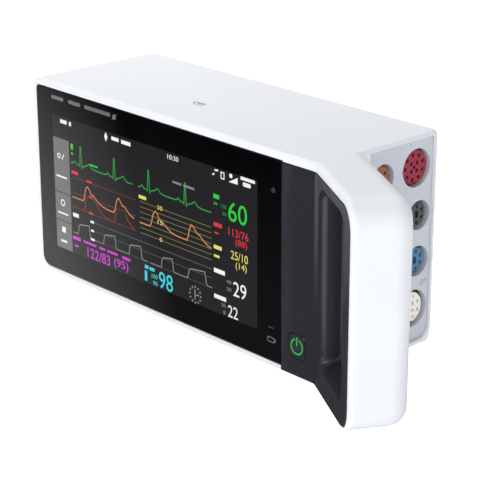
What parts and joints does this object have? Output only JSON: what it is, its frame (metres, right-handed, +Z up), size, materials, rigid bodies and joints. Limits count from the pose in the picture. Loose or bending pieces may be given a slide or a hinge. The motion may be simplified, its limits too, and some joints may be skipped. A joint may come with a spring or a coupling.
{
  "type": "patient monitor",
  "caption": "Compact bedside patient monitor: flat glass front with a display, forward-bent grip with a thumb recess, side sockets, rear battery door.",
  "frame": {"origin": "centre of the bounding box's underside, on the surface that the rubber feet stand on", "axes": "+Z up; the screen faces -Y; +X runs to the right along the screen, towards the grip and the sockets"},
  "size_m": [0.2452, 0.0998, 0.097],
  "materials": {
    "shell_white": "fine satin",
    "trim_dark": "fine satin",
    "cover_glass": "polished",
    "lamp_lens": "gloss",
    "sensor_window": "gloss",
    "gasket_black": "matt",
    "lcd_layer": "gloss",
    "light_metal": "satin",
    "symbol_green": "gloss",
    "panel_grey": "fine satin",
    "socket_red": "satin",
    "socket_brown": "satin",
    "socket_grey": "satin",
    "socket_blue": "satin",
    "socket_cream": "satin",
    "contact_black": "matt",
    "board_green": "satin",
    "steel": "brushed",
    "battery_grey": "matt",
    "tube_silicone": "matt",
    "ribbon_amber": "satin"
  },
  "bodies": {
    "housing": {"main_housing": "shell_white", "rear_cover": "shell_white", "cover_glass": "cover_glass", "alarm_lamp_left": "lamp_lens", "alarm_lamp_middle": "lamp_lens", "alarm_lamp_right": "lamp_lens", "light_sensor": "sensor_window", "glass_gasket": "gasket_black", "lcd_panel": "lcd_layer", "backlight_unit": "light_metal", "grip_trim": "trim_dark", "button_switch": "contact_black", "connector_panel": "panel_grey", "pressure_socket": "socket_red", "temperature_socket": "socket_brown", "gas_socket": "socket_grey", "oxygen_socket": "socket_blue", "ecg_socket": "socket_cream", "pressure_socket_ring": "contact_black", "ecg_socket_ring": "contact_black", "rear_seal": "gasket_black", "battery_tray": "contact_black", "battery_pack": "battery_grey", "battery_door_pin": "steel", "dock_plate": "light_metal", "dock_connector": "contact_black", "chassis_frame": "light_metal", "main_board": "board_green", "measurement_board": "board_green", "power_module": "contact_black", "speaker": "contact_black", "pressure_pump": "light_metal", "valve_manifold": "contact_black", "air_tube": "tube_silicone", "ribbon_cable": "ribbon_amber", "foot_1": "gasket_black", "foot_2": "gasket_black", "foot_3": "gasket_black", "foot_4": "gasket_black", "cover_screw_1": "steel", "cover_screw_2": "steel", "cover_screw_3": "steel", "cover_screw_4": "steel", "dock_screw_1": "steel", "dock_screw_2": "steel"},
    "power_key": {"power_button": "trim_dark", "power_symbol_ring": "symbol_green", "power_symbol_bar": "symbol_green"},
    "battery_flap": {"battery_door": "shell_white"},
    "mount_latch": {"dock_latch": "trim_dark"}
  },
  "joints": [
    {"name": "power_key_press", "type": "slide", "parent": "housing", "child": "power_key", "axis": [0, 1, 0], "range_m": [0, 0.0008], "stiffness_N_per_m": 1800, "springref_m": -0.0004},
    {"name": "battery_door_hinge", "type": "hinge", "parent": "housing", "child": "battery_flap", "pos_m": [-0.05997, 0.04721, 0.0223], "axis": [-1, 0, 0], "range_deg": [0, 105]},
    {"name": "mount_latch_slide", "type": "slide", "parent": "housing", "child": "mount_latch", "axis": [0, 0, -1], "range_m": [0, 0.0025], "stiffness_N_per_m": 400, "springref_m": -0.002}
  ]
}
